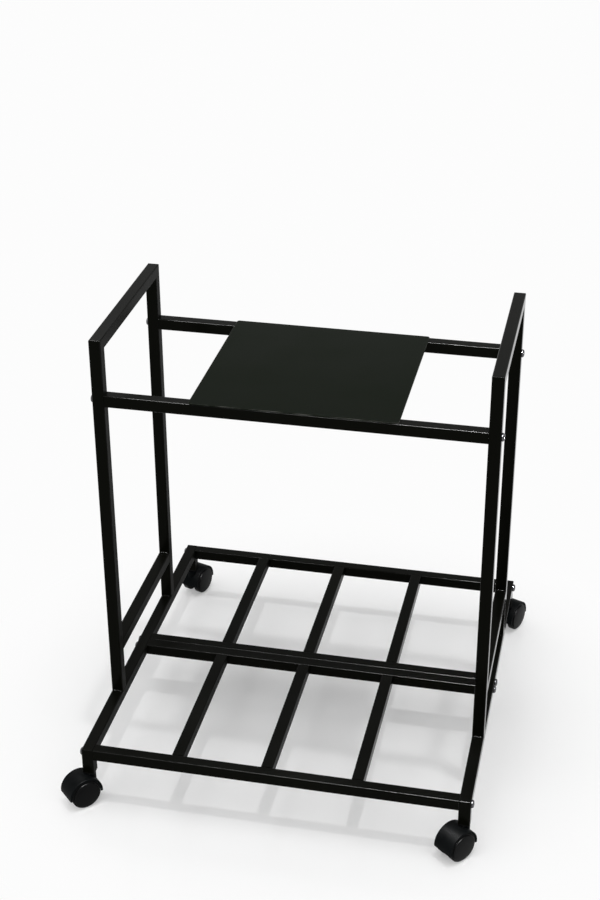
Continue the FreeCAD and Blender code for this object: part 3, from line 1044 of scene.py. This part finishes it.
def build_floor(stage):
    """Pale floor with a faint gloss, which runs out to plain white away from the trolley."""
    half = stage.floor_size / 2
    corners = ((-half, -half, 0), (half, -half, 0), (half, half, 0), (-half, half, 0))
    mesh = bpy.data.meshes.new("floor")
    mesh.from_pydata(corners, [], [range(len(corners))])
    material, tree, shader, place = blank_material("Pale floor")
    shader.inputs["Base Color"].default_value = (*stage.floor_colour, 1)
    shader.inputs["Specular IOR Level"].default_value = FLOOR_GLOSS
    cloud = noise(tree, place, FLOOR_PATCH, detail=1)
    tree.links.new(spread(tree, cloud, *FLOOR_ROUGHNESS), shader.inputs["Roughness"])
    away = grow(tree, "ShaderNodeVectorMath", operation="LENGTH")
    tree.links.new(place.outputs["Object"], away.inputs[0])
    far = spread(tree, away.outputs["Value"], 0.0, 1.0, start=stage.floor_near, end=stage.floor_far)
    rays = grow(tree, "ShaderNodeLightPath").outputs
    seen = highest(tree, rays["Is Camera Ray"], rays["Is Glossy Ray"], rays["Is Transmission Ray"])
    white = grow(tree, "ShaderNodeEmission", {"Strength": stage.white_level})
    mixed = grow(tree, "ShaderNodeMixShader")
    tree.links.new(combined(tree, "MULTIPLY", far, seen), mixed.inputs["Fac"])
    connect(tree, (
        (shader, "BSDF", mixed, 1),
        (white, "Emission", mixed, 2),
        (mixed, "Shader", tree.nodes["Material Output"], "Surface"),
    ))
    mesh.materials.append(material)
    floor = add_object("floor", mesh)
    return floor


def build_surround(stage):
    """White backdrop, a dimmer sky above it, and a wide soft light overhead, a little to the front left."""
    world = bpy.data.worlds.new("Surround")
    world.use_nodes = True
    tree = world.node_tree
    direction = grow(tree, "ShaderNodeTexCoord").outputs["Generated"]
    height = vector_parts(tree, direction)[2]
    low = spread(tree, height, stage.white_level, stage.sky_light, *BACKDROP_END)
    facing = grow(tree, "ShaderNodeVectorMath", {1: SOFT_LIGHT}, operation="DOT_PRODUCT")
    tree.links.new(direction, facing.inputs[0])
    added = stage.overhead_light - stage.sky_light
    high = spread(tree, facing.outputs["Value"], 0.0, added, *SOFT_LIGHT_END)
    ground = tree.nodes["Background"]
    ground.inputs["Color"].default_value = (1, 1, 1, 1)
    tree.links.new(combined(tree, "ADD", low, high), ground.inputs["Strength"])
    bpy.context.scene.world = world


def add_light(name, kind, place, **options):
    """Light at a place, turned to the trolley."""
    light = bpy.data.lights.new(name, kind)
    for option, value in options.items():
        setattr(light, option, value)
    lamp = add_object(name, light)
    lamp.location = place
    lamp.rotation_euler = (Vector(LAMP_TARGET) - Vector(place)).to_track_quat("-Z", "Y").to_euler()
    return lamp


def add_strip(name, strip, power, *shaded):
    """Lamp that draws light lines on glossy edges, and gives no light to the shaded pieces."""
    long, wide = strip["size"]
    lamp = add_light(name, "AREA", strip["place"], energy=power, shape="RECTANGLE", size=long, size_y=wide)
    lamp.visible_diffuse = False
    lamp.visible_camera = False
    unlit = bpy.data.collections.new(f"{name}_unlit")
    for piece in shaded:
        unlit.objects.link(piece)
    for entry in unlit.collection_objects:
        entry.light_linking.link_state = "EXCLUDE"
    lamp.light_linking.receiver_collection = unlit


def build_lights(stage, floor):
    """Weak lamp overhead, and two strips that draw the tubes' edges: a strong right one, a faint left one."""
    add_light("key", "SUN", KEY_PLACE, energy=stage.key_light, angle=stage.key_spread)
    sheet = bpy.data.objects["shelf_sheet"]
    add_strip("right_strip", RIGHT_STRIP, stage.strip_power, floor, sheet)
    add_strip("left_strip", LEFT_STRIP, stage.faint_power, floor, sheet)


def build_camera(stage):
    """Camera at the photograph's viewing angle."""
    data = bpy.data.cameras.new("camera")
    data.lens = stage.camera_lens
    data.sensor_width = SENSOR
    camera = add_object("camera", data)
    camera.location = stage.camera_place
    turn = Euler((math.pi / 2 - stage.camera_elevation, 0, stage.camera_azimuth)).to_matrix()
    camera.rotation_euler = (turn @ Matrix.Rotation(stage.camera_roll, 3, "Z")).to_euler()
    bpy.context.scene.camera = camera


# Operators

class TROLLEY_OT_frame_finishes(bpy.types.Operator):
    """Give every node of the frame its finish"""
    bl_idname = "trolley.frame_finishes"
    bl_label = "Frame finishes"

    def execute(self, context):
        for name, node in frame["nodes"].items():
            node.data.materials.clear()
            node.data.materials.append(finish_for(NODE_SLOTS[name]))
        return {"FINISHED"}


class TROLLEY_OT_shelf_sheet(bpy.types.Operator):
    """Lay the shelf sheet with its eased edges"""
    bl_idname = "trolley.shelf_sheet"
    bl_label = "Shelf sheet"

    def execute(self, context):
        build_sheet(context.scene.trolley_detail)
        return {"FINISHED"}


class TROLLEY_OT_welds(bpy.types.Operator):
    """Lay the weld beads in the frame's inner corners"""
    bl_idname = "trolley.welds"
    bl_label = "Welds"

    def execute(self, context):
        build_welds(context.scene.trolley_detail)
        return {"FINISHED"}


class TROLLEY_OT_screws(bpy.types.Operator):
    """Set the screws at both ends of every bolted rail"""
    bl_idname = "trolley.screws"
    bl_label = "Screws"

    def execute(self, context):
        build_screws(context.scene.trolley_detail)
        return {"FINISHED"}


class TROLLEY_OT_wheels(bpy.types.Operator):
    """Put the wheels on the casters"""
    bl_idname = "trolley.wheels"
    bl_label = "Wheels"

    def execute(self, context):
        build_wheels(context.scene.trolley_detail)
        return {"FINISHED"}


class TROLLEY_OT_hoods(bpy.types.Operator):
    """Put the hoods on the casters"""
    bl_idname = "trolley.hoods"
    bl_label = "Hoods"

    def execute(self, context):
        build_hoods(context.scene.trolley_detail)
        return {"FINISHED"}


class TROLLEY_OT_stage(bpy.types.Operator):
    """Set up the floor, the light and the camera"""
    bl_idname = "trolley.stage"
    bl_label = "Stage"

    def execute(self, context):
        stage = context.scene.trolley_stage
        floor = build_floor(stage)
        build_surround(stage)
        build_lights(stage, floor)
        build_camera(stage)
        context.scene.view_settings.view_transform = "Standard"
        return {"FINISHED"}


STEPS = (
    TROLLEY_OT_frame_finishes,
    TROLLEY_OT_shelf_sheet,
    TROLLEY_OT_welds,
    TROLLEY_OT_screws,
    TROLLEY_OT_wheels,
    TROLLEY_OT_hoods,
    TROLLEY_OT_stage,
)
GROUPS = {"trolley_finish": TrolleyFinish, "trolley_detail": TrolleyDetail, "trolley_stage": TrolleyStage}


class TROLLEY_PT_sidebar(bpy.types.Panel):
    """Steps and values of the trolley"""
    bl_idname = "TROLLEY_PT_sidebar"
    bl_label = "Battery Trolley"
    bl_space_type = "VIEW_3D"
    bl_region_type = "UI"
    bl_category = "Trolley"

    def draw(self, context):
        for step in STEPS:
            self.layout.operator(step.bl_idname)
        for group_name in GROUPS:
            group = getattr(context.scene, group_name)
            box = self.layout.box()
            for name in group.bl_rna.properties.keys():
                if name not in ("rna_type", "name"):
                    box.prop(group, name)


def register():
    """Make the classes and the scene's values known."""
    for kind in (*GROUPS.values(), *STEPS, TROLLEY_PT_sidebar):
        bpy.utils.register_class(kind)
    for name, group in GROUPS.items():
        setattr(bpy.types.Scene, name, PointerProperty(type=group))


def unregister():
    """Undo what register did."""
    for name in GROUPS:
        delattr(bpy.types.Scene, name)
    for kind in reversed((*GROUPS.values(), *STEPS, TROLLEY_PT_sidebar)):
        bpy.utils.unregister_class(kind)


def main():
    """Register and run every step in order."""
    register()
    for step in STEPS:
        family, action = step.bl_idname.split(".")
        getattr(getattr(bpy.ops, family), action)()


if __name__ == "__main__":
    main()
